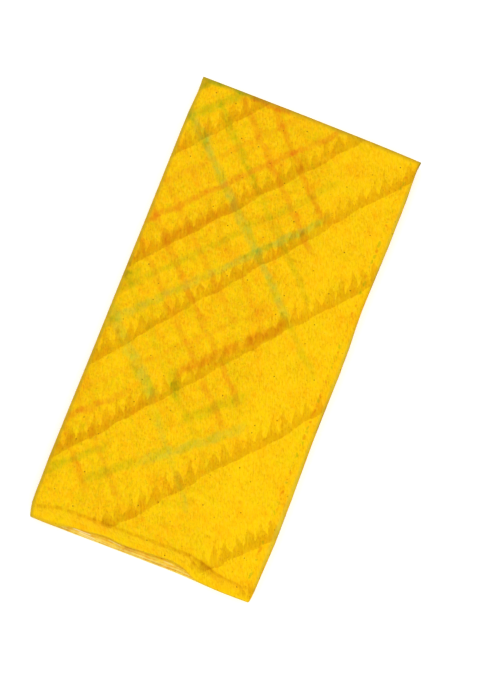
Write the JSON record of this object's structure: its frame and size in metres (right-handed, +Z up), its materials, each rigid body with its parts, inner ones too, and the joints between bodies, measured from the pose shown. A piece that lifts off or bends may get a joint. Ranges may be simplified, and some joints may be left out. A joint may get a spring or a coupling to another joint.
{
  "type": "tussar silk saree, folded flat",
  "caption": "Yellow tussar silk saree with diagonal temple-tooth bands and a faint show-through check, folded back and forth into a long flat pack.",
  "frame": {"origin": "middle of the pack's base, on the surface that it lies on", "axes": "+Z up, +X along the short side to the right, +Y along the long side towards the back edge; the drooping front fold faces -Y"},
  "size_m": [0.2888, 0.5756, 0.0205],
  "materials": {
    "silk": "matt tussar silk with slubs, a slight sheen"
  },
  "bodies": {
    "root": {"saree_cloth": "silk"}
  },
  "joints": []
}
